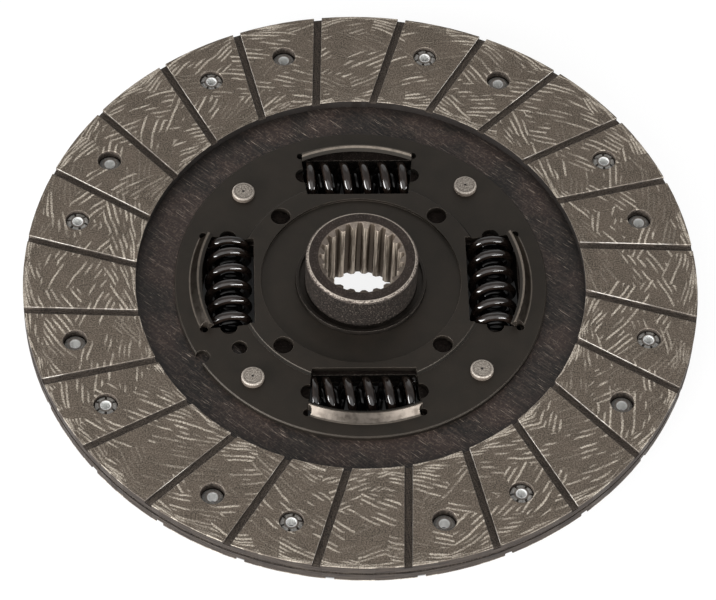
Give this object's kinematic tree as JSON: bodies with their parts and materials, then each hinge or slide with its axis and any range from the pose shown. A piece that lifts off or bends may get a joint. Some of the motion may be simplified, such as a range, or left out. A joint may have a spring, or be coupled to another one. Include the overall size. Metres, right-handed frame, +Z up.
{
  "type": "clutch disc",
  "caption": "Round clutch disc with grooved friction facings on both sides, a coil-spring torsion damper in winged windows and a splined centre hub.",
  "frame": {"origin": "hub axis at the hub's rear end, which is the lowest face", "axes": "+Z up the hub axis towards the gearbox side; the damper windows lie on +X, +Y, -X and -Y"},
  "size_m": [0.2, 0.2, 0.0253],
  "materials": {
    "facing": "matte",
    "spring_steel": "satin",
    "side_plate": "satin",
    "hub_steel": "satin",
    "bush": "satin",
    "pin": "satin",
    "rivet": "satin",
    "coil": "gloss"
  },
  "bodies": {
    "disc": {"facing_upper": "facing", "facing_lower": "facing", "carrier_plate": "spring_steel", "cover_plate": "side_plate", "retainer_plate": "side_plate", "centring_bush": "bush", "friction_washer": "bush", "support_ring": "side_plate", "disc_spring": "spring_steel", "stop_pin_1": "pin", "stop_pin_2": "pin", "stop_pin_3": "pin", "stop_pin_4": "pin", "rivet_01": "rivet", "rivet_02": "rivet", "rivet_03": "rivet", "rivet_04": "rivet", "rivet_05": "rivet", "rivet_06": "rivet", "rivet_07": "rivet", "rivet_08": "rivet", "rivet_09": "rivet", "rivet_10": "rivet", "rivet_11": "rivet", "rivet_12": "rivet", "rivet_13": "rivet", "rivet_14": "rivet", "rivet_15": "rivet", "rivet_16": "rivet"},
    "hub": {"hub": "hub_steel"},
    "damper_springs": {"outer_spring_1": "coil", "outer_spring_2": "coil", "outer_spring_3": "coil", "outer_spring_4": "coil", "inner_spring_1": "coil", "inner_spring_2": "coil", "inner_spring_3": "coil", "inner_spring_4": "coil"}
  },
  "joints": [
    {"name": "hub_twist", "type": "hinge", "parent": "disc", "child": "hub", "pos_m": [0, 0, 0.0082], "axis": [0, 0, 1], "range_deg": [-5.6, 9], "stiffness_Nm_per_rad": 40, "deforming": ["outer_spring_1", "outer_spring_2", "outer_spring_3", "outer_spring_4", "inner_spring_1", "inner_spring_2", "inner_spring_3", "inner_spring_4"]},
    {"name": "spring_shift", "type": "hinge", "parent": "disc", "child": "damper_springs", "pos_m": [0, 0, 0.0082], "axis": [0, 0, 1], "range_deg": [-2.8, 4.5]}
  ],
  "couplings": [
    {"joint": "spring_shift", "follows": "hub_twist", "ratio": 0.5}
  ]
}
